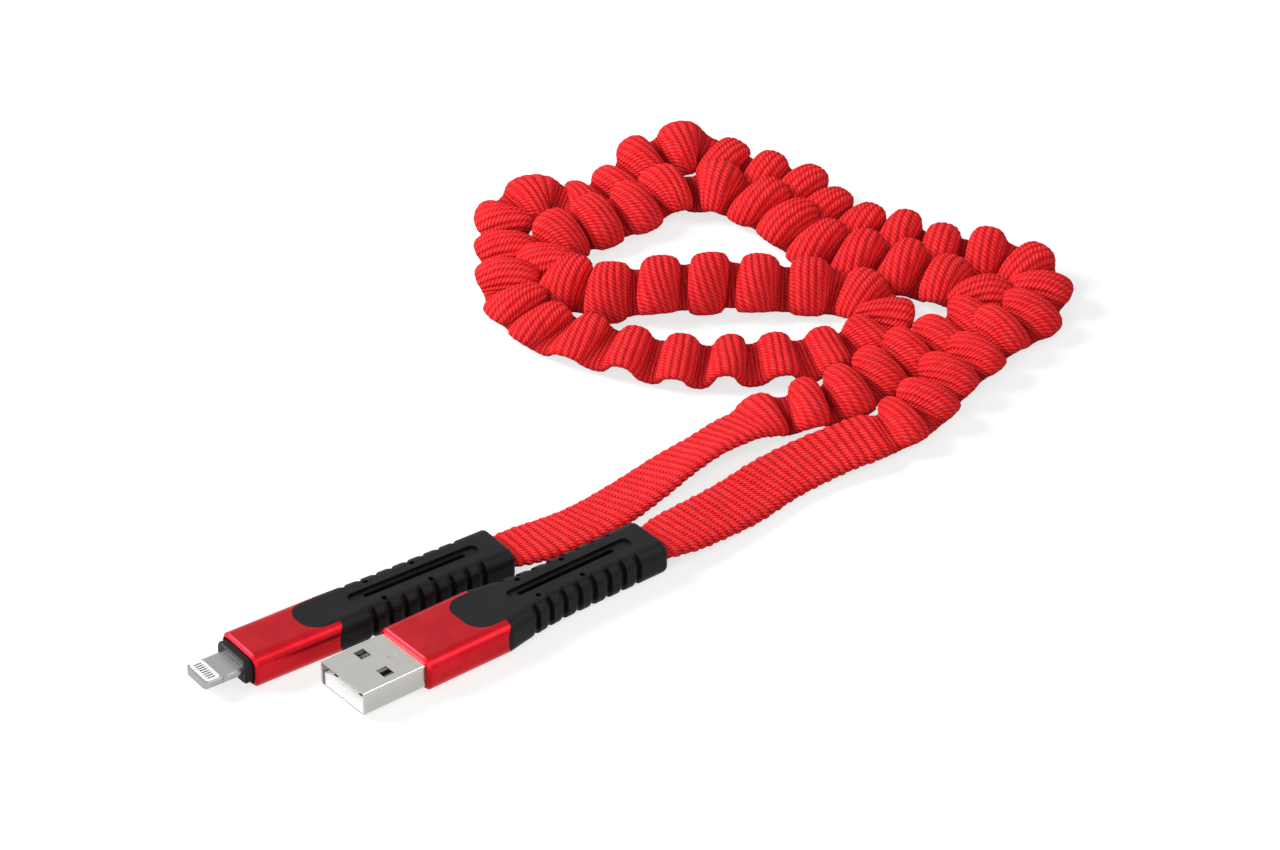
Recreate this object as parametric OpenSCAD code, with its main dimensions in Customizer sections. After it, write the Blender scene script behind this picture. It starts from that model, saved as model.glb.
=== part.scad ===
// Coiled charging cable: a large plug and a slim plug on one woven strap.
// The strap is flat near the plugs and gathered into a fat ribbed cord between them.
// Origin: middle of the large plug's flat underside. +Z is up, its mouth looks toward -Y.

/* [Housings] */
// Width of the large plug's housing
usb_housing_w = 14.4; // [14.2:0.1:20]
// Width of the slim plug's housing
slim_housing_w = 11.2; // [11:0.1:14]
// Height of each aluminium housing
housing_h = 6.4; // [6.4:0.1:9]
// Length of each aluminium housing, from the front rim to the ear tips
housing_l = 17.5; // [14:0.5:26]
// Wall of each aluminium housing
housing_wall = 0.8; // [0.6:0.1:0.9]
// Radius of the housing's four long edges
housing_r = 2.2; // [1.6:0.1:2.6]
// Bevel round the front rim
rim_bevel = 0.5; // [0.2:0.1:0.6]
// Thickness of the wall across the front of the large plug's housing
front_wall = 1.2; // [0.8:0.1:2]
// Width of the large housing's rear scallop, which takes the boot's tongue
usb_scallop_w = 10.2; // [8:0.1:10.8]
// Width of the slim housing's rear scallop
slim_scallop_w = 8.2; // [7.6:0.1:8.4]
// Depth of the rear scallop, from the ear tips
scallop_l = 5.9; // [4:0.1:8]
// Radius of the scallop's two inner corners
scallop_r = 3.6; // [1:0.1:3.6]
// Radius of the ear tips' outer corners
ear_r = 1.2; // [0.4:0.1:1.4]

/* [Rubber boots] */
// Length of a boot behind the ear tips
boot_l = 35.1; // [30:0.1:45]
// Width of a boot at its strap end
boot_end_w = 10.6; // [10.4:0.1:13]
// Length of the flare from the housing's width to the end width
flare_l = 15.2; // [8:0.1:20]
// Radius round the edge at the strap end
boot_end_r = 0.5; // [0.2:0.1:0.5]
// Number of cross grooves on each side
groove_count = 8; // [3:1:9]
// Distance between cross grooves
groove_pitch = 3.2; // [2.4:0.05:3.6]
// Distance from the ear tips to the first cross groove
groove_start = 6.9; // [5:0.1:9]
// Length of a groove's sloping floor, along the boot
groove_l = 1.6; // [0.5:0.1:2]
// Depth of a groove at its steep wall
groove_depth = 0.65; // [0.3:0.05:0.7]
// Width of the dished panel
dish_w = 2.7; // [2.4:0.1:4]
// Length of the dished panel
dish_l = 26.3; // [20:0.1:30]
// Depth of the dished panel
dish_depth = 0.5; // [0.2:0.05:0.8]
// Distance from the ear tips to the dished panel
dish_start = 4.5; // [3:0.1:6]
// Width of the slot in the dished panel
slot_w = 1; // [0.8:0.1:2]
// Length of the slot
slot_l = 20.7; // [14:0.1:22]
// Distance from the ear tips to the slot
slot_start = 6.5; // [5.5:0.1:7.5]
// How much farther back the slot and the holes lie in the slim plug's boot
slim_shift = 1; // [0:0.1:1.5]
// Diameter of the four small holes beside the panel
pin_hole_d = 1; // [0.6:0.1:1.4]
// Depth of the four small holes
pin_hole_depth = 1.6; // [0.5:0.1:1.7]

/* [Large plug] */
// Width of the steel sleeve
plug_w = 12; // [11.9:0.05:12.1]
// Height of the steel sleeve
plug_h = 4.5; // [4.4:0.05:4.6]
// Length of the sleeve in front of the housing
plug_l = 12.8; // [11.5:0.1:15]
// Length of the sleeve inside the housing
plug_root_l = 4; // [3:0.1:5]
// Thickness of the sleeve's sheet
plug_sheet = 0.3; // [0.25:0.05:0.35]
// Width of a latch window, across the plug
latch_w = 2.4; // [2:0.1:2.6]
// Length of a latch window, along the plug
latch_l = 2.05; // [1.6:0.05:2.5]
// Distance from the middle of the plug to the middle of a latch window
latch_x = 3.2; // [2.6:0.05:3.6]
// Distance from the mouth to the middle of a latch window
latch_y = 6.5; // [5:0.1:8]
// Thickness of the white tongue
tongue_h = 2; // [1.8:0.05:2.1]
// Distance from the mouth to the tongue's end
tongue_recess = 0.35; // [0.2:0.05:1]
// Width of a contact spring
contact_w = 1; // [0.8:0.05:1.2]
// Thickness of a contact spring
contact_t = 0.3; // [0.2:0.05:0.4]

/* [Slim plug] */
// Width of the steel tab
tab_w = 6.7; // [6:0.05:7]
// Thickness of the steel tab
tab_t = 1.5; // [1.5:0.05:1.8]
// Length of the tab in front of the collar
tab_l = 7.1; // [6.2:0.05:8]
// Radius of the tab's two front corners
tab_r = 1.2; // [0.6:0.1:1.4]
// Width of the white contact panel
panel_w = 6; // [5.8:0.05:6]
// Length of the white contact panel
panel_l = 2.75; // [2.4:0.05:2.8]
// Distance from the tab's tip to the panel
panel_tip = 0.45; // [0.3:0.05:0.6]
// Radius of the panel's corners
panel_r = 0.7; // [0.3:0.05:0.9]
// Distance between the contacts on the panel
pad_pitch = 0.62; // [0.55:0.01:0.66]
// Width of a contact on the panel
pad_w = 0.34; // [0.25:0.01:0.4]
// Length of a contact on the panel
pad_l = 1.5; // [1:0.05:1.7]
// Depth of a contact in the panel
pad_t = 0.25; // [0.1:0.05:0.4]
// Width of the black collar
collar_w = 9; // [8:0.1:9.2]
// Height of the black collar
collar_h = 4.4; // [3:0.1:4.6]
// Length of the collar in front of the housing
collar_out = 1.5; // [0.5:0.05:3]
// Distance from the housing's rim back to the collar's base
collar_recess = 0.4; // [0.2:0.05:1]

/* [Strap] */
// Width of the strap where it lies flat
strap_w = 12; // [10:0.1:13]
// Thickness of the strap where it lies flat
strap_t = 2.4; // [1.8:0.1:2.8]
// Width of the strap inside the boots
root_w = 8.2; // [8:0.1:8.4]
// Width of the strap where it leaves a boot
exit_w = 8.9; // [8.4:0.1:9]
// Thickness of the strap inside the boots
root_t = 2.4; // [2.2:0.1:2.6]
// Diameter of the gathered strap
bundle_d = 9.2; // [6:0.1:9.2]
// Diameter of each wire at the strap's stripped ends
wire_d = 0.8; // [0.5:0.1:0.9]

/* [Layout] */
// Gap between the sides of the two housings
plug_gap = 4; // [2:0.1:7]
// Lengthways place of the slim plug's housing
slim_y = -21.5; // [-26:0.1:-18]
// Turn of the slim plug
slim_turn = -3.1; // [-3.5:0.1:0]

/* [Hidden] */

// Clearances between pieces, and how far a cut runs past a face
touch = 0.01;
snug = 0.02;
fit = 0.05;
loose = 0.1;
strap_play = 0.2;
past = 1;

// Places along a plug, in its own frame
mid_z = housing_h / 2;
rim_y = -housing_l / 2;
ear_y = housing_l / 2;
scallop_y = ear_y - scallop_l;
boot_end_y = ear_y + boot_l;
strap_end_y = ear_y + 3.25;
spigot_y = scallop_y + fit;
core_l = scallop_y - rim_y;
flare_y = boot_end_y - 2.2;
cavity_h = housing_h - 2 * housing_wall;
cavity_r = 1.1;
wire_hole_d = wire_d + 2 * fit;
wall_l = 0.15;
pin_hole_x = 2.9;
pin_hole_y = [8.7, 18.2];

// Large plug
mouth_y = rim_y - plug_l;
plug_root_y = rim_y + plug_root_l;
sleeve_r = 0.5;
seam_w = 0.12;
dimple_r = 0.9;
dimple_depth = 0.2;
dimple_ball_r = (pow(dimple_r, 2) + pow(dimple_depth, 2)) / (2 * dimple_depth);
dimple_y = rim_y - 2.7;
bore_w = plug_w - 2 * plug_sheet;
bore_h = plug_h - 2 * plug_sheet;
mouth_floor_z = mid_z - bore_h / 2;
tongue_gap = 0.22;
tongue_block_y = rim_y - 0.75;
tongue_l = tongue_block_y + past - mouth_y - tongue_recess;
spring_top_z = mouth_floor_z + tongue_h + fit;
spring_x = [-3.5, -1, 1, 3.5];
// The outer two springs reach nearer the mouth than the inner two
spring_start = [1.1, 2.1, 2.1, 1.1];
spring_tail_l = 3.2;
usb_wire_z = spring_top_z + wire_d / 2 + touch;

// Slim plug
slim_x = -((usb_housing_w + slim_housing_w) / 2 + plug_gap);
collar_front_y = rim_y - collar_out;
tip_y = collar_front_y - tab_l;
tab_root_y = rim_y + core_l / 2;
panel_y = tip_y + panel_tip;
notch_r = 0.9;
notch_depth = 0.35;
notch_y = collar_front_y - 3.2;
hollow_y = panel_y + panel_l + 0.9;
hollow_w = 5.6;
hollow_t = 0.9;
board_w = 5.3;
board_t = 0.7;
board_end_y = scallop_y - 0.6;
chip_w = 3.2;
chip_l = core_l / 5;
chip_t = 0.8;
chip_y = tab_root_y + 0.3;
collar_back_y = rim_y + 2.2;
slim_wire_x = [-2.2, -0.8, 0.8, 2.2];
slim_wire_y = chip_y + chip_l + 0.3;
slim_wire_z = mid_z + board_t / 2 + wire_d / 2 + touch;

// Route of the strap, from the large plug round the coil to the slim plug
usb_flat = [[-1, 54, 2.4], [-1, 65, 1.6], [-2, 76, 1.6], [-2, 87, 2.2], [-1, 96, 3.4]];
coil = [
    [0, 104], [-3, 113], [-7, 123], [-10, 132], [-11, 141], [-15, 149], [-21, 154],
    [-29, 154], [-37, 150], [-45, 145], [-54, 141], [-65, 140], [-77, 141], [-89, 139],
    [-97, 134], [-100, 125], [-99, 115], [-98, 106], [-100, 98], [-99, 90], [-94, 83],
    [-86, 77], [-78, 74], [-70, 73], [-61, 73], [-53, 76], [-45, 81], [-37, 88],
    [-31, 96], [-27, 104], [-26, 112], [-29, 120], [-35, 123], [-42, 121], [-48, 114],
    [-53, 107], [-57, 100], [-62, 93], [-68, 87], [-76, 84], [-83, 87], [-87, 94],
    [-87, 103], [-87, 112], [-88, 121], [-83, 129], [-74, 131], [-64, 130], [-54, 130],
    [-45, 133], [-38, 136], [-31, 139], [-25, 139], [-20, 134], [-19, 127], [-17, 120],
    [-15, 112], [-14, 103], [-16, 94]];
slim_flat = [
    [-18, 86, 3.4], [-18, 76, 2.2], [-18, 65, 1.6], [-17, 54, 1.6], [-16, 43, 1.6], [-15, 33, 2.4]];
strap_sides = 12;
// Room that the strap needs to turn in, past a boot's end
turn_room = 5;

// Rounded rectangle centred on the origin
module rounded_rect(w, h, r) {
    square([w - 2 * r, h], center = true);
    square([w, h - 2 * r], center = true);
    for (x = [-1, 1], y = [-1, 1])
        translate([x * (w / 2 - r), y * (h / 2 - r)])
            circle(r, $fn = 32);
}

// Section drawn across the plug, centred at its middle height, run from y0 to y1
module along_y(y0, y1) {
    translate([0, y1, mid_z])
        rotate([90, 0, 0])
            linear_extrude(y1 - y0)
                children();
}

// Outline drawn in plan, run from z0 up to z1
module up_z(z0, z1) {
    translate([0, 0, z0])
        linear_extrude(z1 - z0)
            children();
}

// Straight bevel round the end of a rounded bar, from the bar's end face to b beyond it
module bevelled_end(w, h, r, b) {
    for (x = [-1, 1], y = [-1, 1])
        translate([x * (w / 2 - r), y * (h / 2 - r), 0])
            cylinder(h = b, r1 = r, r2 = r - b, $fn = 32);
    rotate([90, 0, 90])
        linear_extrude(w - 2 * r, center = true)
            polygon([[-h / 2, 0], [h / 2, 0], [h / 2 - b, b], [b - h / 2, b]]);
    rotate([90, 0, 0])
        linear_extrude(h - 2 * r, center = true)
            polygon([[-w / 2, 0], [w / 2, 0], [w / 2 - b, b], [b - w / 2, b]]);
}

// Solid through a list of rings that all have the same number of points
module loft(rings) {
    n = len(rings[0]);
    last = len(rings) - 1;
    points = [for (ring = rings, p = ring) p];
    sides = [
        for (i = [0:last - 1], j = [0:n - 1])
            let (a = i * n + j, b = i * n + (j + 1) % n)
                each [[a, b, a + n], [b, b + n, a + n]]];
    start_cap = [[for (j = [n - 1:-1:0]) j]];
    end_cap = [[for (j = [0:n - 1]) last * n + j]];
    polyhedron(points, concat(start_cap, sides, end_cap));
}

// Plan of a housing of width w: ears round a scallop. A gap draws it larger all round
module housing_plan(w, scallop_w, gap) {
    half = scallop_w / 2 - gap;
    difference() {
        union() {
            translate([-w / 2 - gap, rim_y - gap])
                square([w + 2 * gap, housing_l - ear_r + gap]);
            translate([ear_r - w / 2, ear_y - 2 * ear_r])
                square([w - 2 * ear_r, 2 * ear_r + gap]);
            for (x = [-1, 1])
                translate([x * (w / 2 - ear_r), ear_y - ear_r])
                    circle(ear_r + gap, $fn = 32);
        }
        translate([0, scallop_y + gap + scallop_l])
            rounded_rect(2 * half, 2 * scallop_l, scallop_r);
    }
}

// Section of the room inside a housing of width w, drawn smaller all round by a gap
module cavity(w, gap) {
    rounded_rect(w - 2 * (housing_wall + gap), cavity_h - 2 * gap, cavity_r - gap);
}

// Aluminium sleeve of either plug, open at the rear, with a bevelled front rim
module housing_body(w, scallop_w, front) {
    difference() {
        intersection() {
            union() {
                along_y(rim_y + rim_bevel, ear_y + past)
                    rounded_rect(w, housing_h, housing_r);
                translate([0, rim_y + rim_bevel, mid_z])
                    rotate([90, 0, 0])
                        bevelled_end(w, housing_h, housing_r, rim_bevel);
            }
            up_z(-past, housing_h + past)
                housing_plan(w, scallop_w, 0);
        }
        along_y(rim_y + front, ear_y + 2 * past)
            cavity(w, 0);
    }
}

// Half width of a boot at a place along it, easing from its housing's width w
function boot_half(w, y) =
    let (s = min(max((y - ear_y) / flare_l, 0), 1))
        (boot_end_w + (w - boot_end_w) * pow(1 - s, 1.8)) / 2;

// Ring of a boot at y, inset all round, and cut deeper on the flanks and their edges
function boot_ring(w, y, inset, cut) =
    let (half = boot_half(w, y) - housing_r, up = mid_z - housing_r)
        [for (c = [[1, 1, 0], [-1, 1, 90], [-1, -1, 180], [1, -1, 270]], k = [0:6])
            let (a = c[2] + 15 * k, r = housing_r - inset - cut * min(1, 2 * abs(cos(a))))
                [c[0] * half + r * cos(a), y, mid_z + c[1] * up + r * sin(a)]];

// A cross groove's sloping floor and the steep wall that ends it
function groove_rings(w, y) = [
    boot_ring(w, y - groove_l, 0, 0),
    boot_ring(w, y - wall_l, 0, groove_depth),
    boot_ring(w, y, 0, 0)];

// Long panel with rounded ends
module dish_plan() {
    translate([0, ear_y + dish_start + dish_l / 2])
        rounded_rect(dish_w, dish_l, dish_w / 2 - loose);
}

module slot_plan(shift) {
    translate([0, ear_y + slot_start + shift + slot_l / 2])
        rounded_rect(slot_w, slot_l, slot_w / 2 - touch);
}

// Room for the strap, a little wider at the boot's end
module strap_channel() {
    along_y(strap_end_y - fit, boot_end_y + past)
        rounded_rect(root_w + 2 * strap_play, root_t + 2 * strap_play, 0.8);
    along_y(flare_y, boot_end_y + past)
        rounded_rect(exit_w + 2 * strap_play, root_t + 2 * strap_play, 0.8);
}

// Rubber boot: tongue in the scallop, spigot in the housing, grooved flanks, strap channel
module boot(w, scallop_w, shift, wire_x, wire_z) {
    first_y = ear_y + groove_start;
    plain_l = groove_start - groove_l;
    flare_rings = [for (k = [0:3]) boot_ring(w, ear_y + plain_l * k / 4, 0, 0)];
    side_rings = [for (k = [0:groove_count - 1]) each groove_rings(w, first_y + k * groove_pitch)];
    end_rings = [
        for (a = [0, 45, 90])
            boot_ring(w, boot_end_y - boot_end_r * (1 - sin(a)), boot_end_r * (1 - cos(a)), 0)];
    difference() {
        union() {
            difference() {
                loft(concat([boot_ring(w, spigot_y, 0, 0)], flare_rings, side_rings, end_rings));
                up_z(-past, housing_h + past)
                    housing_plan(w, scallop_w, fit);
            }
            along_y(spigot_y, ear_y + past)
                cavity(w, fit);
        }
        up_z(housing_h - dish_depth, housing_h + past)
            dish_plan();
        up_z(-past, dish_depth)
            dish_plan();
        up_z(-past, housing_h + past)
            slot_plan(shift);
        for (x = [-pin_hole_x, pin_hole_x], y = pin_hole_y) {
            up_z(housing_h - pin_hole_depth, housing_h + past)
                translate([x, ear_y + shift + y])
                    circle(d = pin_hole_d, $fn = 24);
            up_z(-past, pin_hole_depth)
                translate([x, ear_y + shift + y])
                    circle(d = pin_hole_d, $fn = 24);
        }
        strap_channel();
        for (x = wire_x)
            along_y(spigot_y - past, strap_end_y)
                translate([x, wire_z - mid_z])
                    circle(d = wire_hole_d, $fn = 24);
    }
}

// Block inside a housing, round the wires
module inner_mould(w, y0, wire_x, wire_z, wire_y) {
    difference() {
        along_y(y0, spigot_y - fit)
            cavity(w, loose);
        for (x = wire_x)
            along_y(wire_y - loose, spigot_y + past)
                translate([x, wire_z - mid_z])
                    circle(d = wire_hole_d, $fn = 24);
    }
}

module wire(x, z, y) {
    along_y(y, strap_end_y)
        translate([x, z - mid_z])
            circle(d = wire_d, $fn = 24);
}

module usb_plug_sleeve() {
    color([0.82, 0.81, 0.77])
        difference() {
            along_y(mouth_y, plug_root_y)
                rounded_rect(plug_w, plug_h, sleeve_r);
            along_y(mouth_y - past, plug_root_y + past)
                rounded_rect(bore_w, bore_h, sleeve_r - plug_sheet);
            // Four latch windows, two on top and two below
            for (x = [-1, 1])
                up_z(-past, housing_h + past)
                    translate([x * latch_x, mouth_y + latch_y])
                        square([latch_w, latch_l], center = true);
            // Seam of the folded sheet underneath
            translate([-seam_w / 2, mouth_y - past, 0])
                cube([seam_w, plug_l + plug_root_l + 2 * past, mouth_floor_z + fit]);
            translate([0, dimple_y, mid_z + plug_h / 2 + dimple_ball_r - dimple_depth])
                sphere(dimple_ball_r, $fn = 48);
        }
}

module usb_tongue() {
    color([0.93, 0.93, 0.92])
        difference() {
            union() {
                translate([tongue_gap - bore_w / 2, mouth_y + tongue_recess, mouth_floor_z])
                    cube([bore_w - 2 * tongue_gap, tongue_l, tongue_h]);
                along_y(tongue_block_y, plug_root_y)
                    rounded_rect(bore_w - 2 * snug, bore_h - 2 * snug, sleeve_r - plug_sheet);
            }
            for (i = [0:3])
                spring_bar(i, contact_w + 2 * fit, snug, plug_root_y + past);
        }
}

// Flat bar along a contact's place, used for the spring and for its groove
module spring_bar(i, w, gap, end_y) {
    start_y = mouth_y + spring_start[i] - gap;
    up_z(spring_top_z - contact_t - gap, spring_top_z + gap)
        translate([spring_x[i] - w / 2, start_y])
            square([w, end_y - start_y]);
}

module usb_contact(i) {
    color([0.85, 0.68, 0.32])
        spring_bar(i - 1, contact_w, 0, plug_root_y + spring_tail_l);
}

module usb_inner_mould() {
    color([0.85, 0.85, 0.83])
        difference() {
            inner_mould(usb_housing_w, plug_root_y + fit, spring_x, usb_wire_z, plug_root_y);
            for (i = [0:3])
                spring_bar(i, contact_w + 2 * fit, fit, plug_root_y + spring_tail_l + fit);
        }
}

module usb_wire(i) {
    wire_y = plug_root_y + 0.8;
    color(["red", "white", "green", "black"][i - 1])
        wire(spring_x[i - 1], usb_wire_z, wire_y);
}

module usb_housing() {
    color([0.8, 0.05, 0.07])
        difference() {
            housing_body(usb_housing_w, usb_scallop_w, front_wall);
            along_y(rim_y - past, rim_y + front_wall + past)
                rounded_rect(plug_w + 2 * fit, plug_h + 2 * fit, sleeve_r);
        }
}

module usb_boot() {
    color([0.13, 0.13, 0.14])
        boot(usb_housing_w, usb_scallop_w, 0, spring_x, usb_wire_z);
}

// Everything on the slim plug is drawn at the origin and placed by this
module slim_place() {
    translate([slim_x, slim_y, 0])
        rotate([0, 0, slim_turn])
            children();
}

module tab_section(gap) {
    rounded_rect(tab_w + 2 * gap, tab_t + 2 * gap, 0.6 + gap);
}

module panel_plan(gap) {
    translate([0, panel_y + panel_l / 2])
        rounded_rect(panel_w - 2 * gap, panel_l - 2 * gap, panel_r - gap);
}

module slim_tab() {
    color([0.75, 0.76, 0.77])
        difference() {
            intersection() {
                along_y(tip_y, tab_root_y)
                    tab_section(0);
                up_z(0, housing_h)
                    translate([0, (tip_y + tab_root_y + past) / 2])
                        rounded_rect(tab_w, tab_root_y + past - tip_y, tab_r);
            }
            up_z(0, housing_h)
                panel_plan(0);
            for (x = [-1, 1])
                up_z(0, housing_h)
                    translate([x * (tab_w / 2 + notch_r - notch_depth), notch_y])
                        circle(notch_r, $fn = 32);
            along_y(hollow_y, tab_root_y + past)
                rounded_rect(hollow_w, hollow_t, 0.2);
        }
}

// Contact number i of eight, drawn in plan
module pad_plan(i, gap) {
    translate([(i - 4.5) * pad_pitch, panel_y + panel_l / 2])
        rounded_rect(pad_w + 2 * gap, pad_l + 2 * gap, 0.12 + gap);
}

module slim_panel() {
    color([0.92, 0.92, 0.9])
        difference() {
            up_z(mid_z - tab_t / 2 + snug, mid_z + tab_t / 2 - snug)
                panel_plan(snug);
            for (i = [1:8]) {
                up_z(mid_z + tab_t / 2 - pad_t, mid_z + tab_t)
                    pad_plan(i, snug);
                up_z(mid_z - tab_t, mid_z - tab_t / 2 + pad_t)
                    pad_plan(i, snug);
            }
        }
}

module slim_contact_top(i) {
    color([0.8, 0.72, 0.5])
        up_z(mid_z + tab_t / 2 - pad_t, mid_z + tab_t / 2)
            pad_plan(i, 0);
}

module slim_contact_bottom(i) {
    color([0.8, 0.72, 0.5])
        up_z(mid_z - tab_t / 2, mid_z - tab_t / 2 + pad_t)
            pad_plan(i, 0);
}

module slim_board() {
    color([0.05, 0.35, 0.2])
        along_y(hollow_y + fit, board_end_y)
            square([board_w, board_t], center = true);
}

module slim_chip() {
    color([0.1, 0.1, 0.1])
        translate([-chip_w / 2, chip_y, mid_z + board_t / 2])
            cube([chip_w, chip_l, chip_t]);
}

module slim_collar() {
    color([0.1, 0.1, 0.11])
        difference() {
            union() {
                along_y(collar_front_y + 0.3, collar_back_y)
                    rounded_rect(collar_w, collar_h, 1.2);
                translate([0, collar_front_y + 0.3, mid_z])
                    rotate([90, 0, 0])
                        bevelled_end(collar_w, collar_h, 1.2, 0.3);
                along_y(rim_y + collar_recess, collar_back_y)
                    cavity(slim_housing_w, fit);
            }
            along_y(collar_front_y - past, collar_back_y + past)
                tab_section(snug);
        }
}

module slim_inner_mould() {
    color([0.85, 0.85, 0.83])
        difference() {
            inner_mould(slim_housing_w, collar_back_y + fit, slim_wire_x, slim_wire_z, slim_wire_y);
            along_y(collar_back_y - past, tab_root_y + fit)
                tab_section(fit);
            along_y(collar_back_y - past, board_end_y + fit)
                square([board_w + 2 * fit, board_t + 2 * fit], center = true);
            translate([-chip_w / 2 - fit, chip_y - fit, mid_z])
                cube([chip_w + 2 * fit, chip_l + 2 * fit, board_t / 2 + chip_t + fit]);
        }
}

module slim_housing() {
    color([0.8, 0.05, 0.07])
        housing_body(slim_housing_w, slim_scallop_w, -past);
}

module slim_boot() {
    color([0.13, 0.13, 0.14])
        boot(slim_housing_w, slim_scallop_w, slim_shift, slim_wire_x, slim_wire_z);
}

module slim_wire(i) {
    color(["red", "white", "green", "black"][i - 1])
        wire(slim_wire_x[i - 1], slim_wire_z, slim_wire_y);
}

// Point on the slim plug's middle line, at a place along the plug
function slim_at(y) = [slim_x - y * sin(slim_turn), slim_y + y * cos(slim_turn), mid_z];

function unit(v) = v / norm(v);

// Ring of the strap round point p, across direction t. Square is 1 for an oval and less for a flat band
function strap_ring(p, t, w, h, square) =
    let (across = unit([t[1], -t[0], 0]), up = cross(across, unit(t)))
        [for (k = [0:strap_sides - 1])
            let (
                a = 360 * (k + 0.5) / strap_sides,
                c = sign(cos(a)) * pow(abs(cos(a)), square),
                s = sign(sin(a)) * pow(abs(sin(a)), square))
                p + across * c * w / 2 + up * s * h / 2];

// Points of the route that a boot, which ends at p, hasn't reached
function clear_of(p, points) = [for (q = points) if (norm([q[0] - p[0], q[1] - p[1]]) > turn_room) q];

module strap() {
    // Place along a boot and width of the strap there
    strap_root = [
        [strap_end_y, root_w], [flare_y + loose, root_w],
        [flare_y + 1, exit_w], [boot_end_y, exit_w]];
    // Each stop holds a point, then the width, the height and the squareness of the section there
    stops = concat(
        [for (e = strap_root) [[0, e[0], mid_z], e[1], root_t, 0.5]],
        [for (p = clear_of([0, boot_end_y], usb_flat)) [p, strap_w, strap_t, 0.5]],
        [for (p = coil) [[p[0], p[1], bundle_d / 2], bundle_d, bundle_d, 1]],
        [for (p = clear_of(slim_at(boot_end_y), slim_flat)) [p, strap_w, strap_t, 0.5]],
        [for (k = [3:-1:0]) [slim_at(strap_root[k][0]), strap_root[k][1], root_t, 0.5]]);
    last = len(stops) - 1;
    color([0.83, 0.08, 0.1])
        loft([
            for (i = [0:last])
                let (t = stops[min(i + 1, last)][0] - stops[max(i - 1, 0)][0])
                    strap_ring(stops[i][0], t, stops[i][1], stops[i][2], stops[i][3])]);
}

usb_plug_sleeve();
usb_tongue();
usb_inner_mould();
usb_housing();
usb_boot();
for (i = [1:4]) usb_contact(i);
for (i = [1:4]) usb_wire(i);
slim_place() slim_tab();
slim_place() slim_panel();
slim_place() slim_board();
slim_place() slim_chip();
slim_place() slim_collar();
slim_place() slim_inner_mould();
slim_place() slim_housing();
slim_place() slim_boot();
for (i = [1:8]) slim_place() slim_contact_top(i);
for (i = [1:8]) slim_place() slim_contact_bottom(i);
for (i = [1:4]) slim_place() slim_wire(i);
strap();
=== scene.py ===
"""Looks of a coiled charging cable: two plugs in red aluminium housings with black rubber boots, joined by a
red woven strap that is flat beside the plugs and gathered into a fat ribbed cord between them."""

import math

import bpy
import numpy as np
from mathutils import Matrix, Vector


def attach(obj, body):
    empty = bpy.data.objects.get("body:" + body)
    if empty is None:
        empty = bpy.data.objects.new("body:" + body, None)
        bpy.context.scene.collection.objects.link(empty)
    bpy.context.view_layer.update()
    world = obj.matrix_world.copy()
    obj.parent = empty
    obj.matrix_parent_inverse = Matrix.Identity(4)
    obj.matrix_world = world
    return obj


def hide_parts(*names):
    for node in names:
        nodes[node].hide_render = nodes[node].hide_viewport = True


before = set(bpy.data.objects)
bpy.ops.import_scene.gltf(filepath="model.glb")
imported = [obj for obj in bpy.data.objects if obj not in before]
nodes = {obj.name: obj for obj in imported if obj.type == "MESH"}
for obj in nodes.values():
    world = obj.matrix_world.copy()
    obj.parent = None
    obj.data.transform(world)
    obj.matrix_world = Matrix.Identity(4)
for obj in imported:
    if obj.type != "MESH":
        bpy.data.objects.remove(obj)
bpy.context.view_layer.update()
bpy.ops.object.select_all(action="DESELECT")

MM = 0.001
BODY = "root"
FULL_TURN = 2 * math.pi

# The view, from beyond the mouth of the large plug, in metres, and its lens, in millimetres
VIEW_AZIMUTH = math.radians(50.98)
VIEW_ELEVATION = math.radians(33.5)
VIEW_DISTANCE = 0.95
VIEW_TARGET = Vector((-0.03414, 0.06956, 0))
VIEW_REACH = 10
LENS = 149.1
SENSOR_WIDTH = 36

# Lamps by name: place and width in metres, and watts
LAMPS = {
    "key": ((-0.60, -0.43, 0.55), 0.4, 10.4),
    "front": ((0.45, -0.65, 0.5), 0.5, 4.4),
    "back": ((0.48, 0.57, 0.62), 0.3, 1.8)}
LAMP_TARGET = Vector((-0.04, 0.07, 0))

# The room's light on the object, and what the camera and mirrors see beyond it
ROOM_LIGHT = 0.22
ROOM_SEEN = 0.63

# The floor's width in metres, its grey, its glow to the camera, and the share of the glow that mirrors show
FLOOR_SIZE = 6
FLOOR_GREY = 0.36
FLOOR_GLOW = 0.70
MIRRORED_GLOW = 0.8

# Places along either plug, in millimetres, where the strap starts in its boot, runs on and comes out, and the
# height of the plugs' middle lines
BOOT_START = 12.0
BOOT_MIDDLE = 28
BOOT_END = 43.85
PLUG_HEIGHT = 3.2

# The housings' front rim, in millimetres along either plug, and how far its cut band reaches
RIM_PLACE = -8.75
RIM_BEFORE = 1
RIM_BEHIND = 0.25
RIM_SOFTNESS = 0.1

# The slim plug's own place and turn
SLIM_ORIGIN = Vector((-16.8, -21.5, 0))
SLIM_TURN = math.radians(-3.1)

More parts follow.
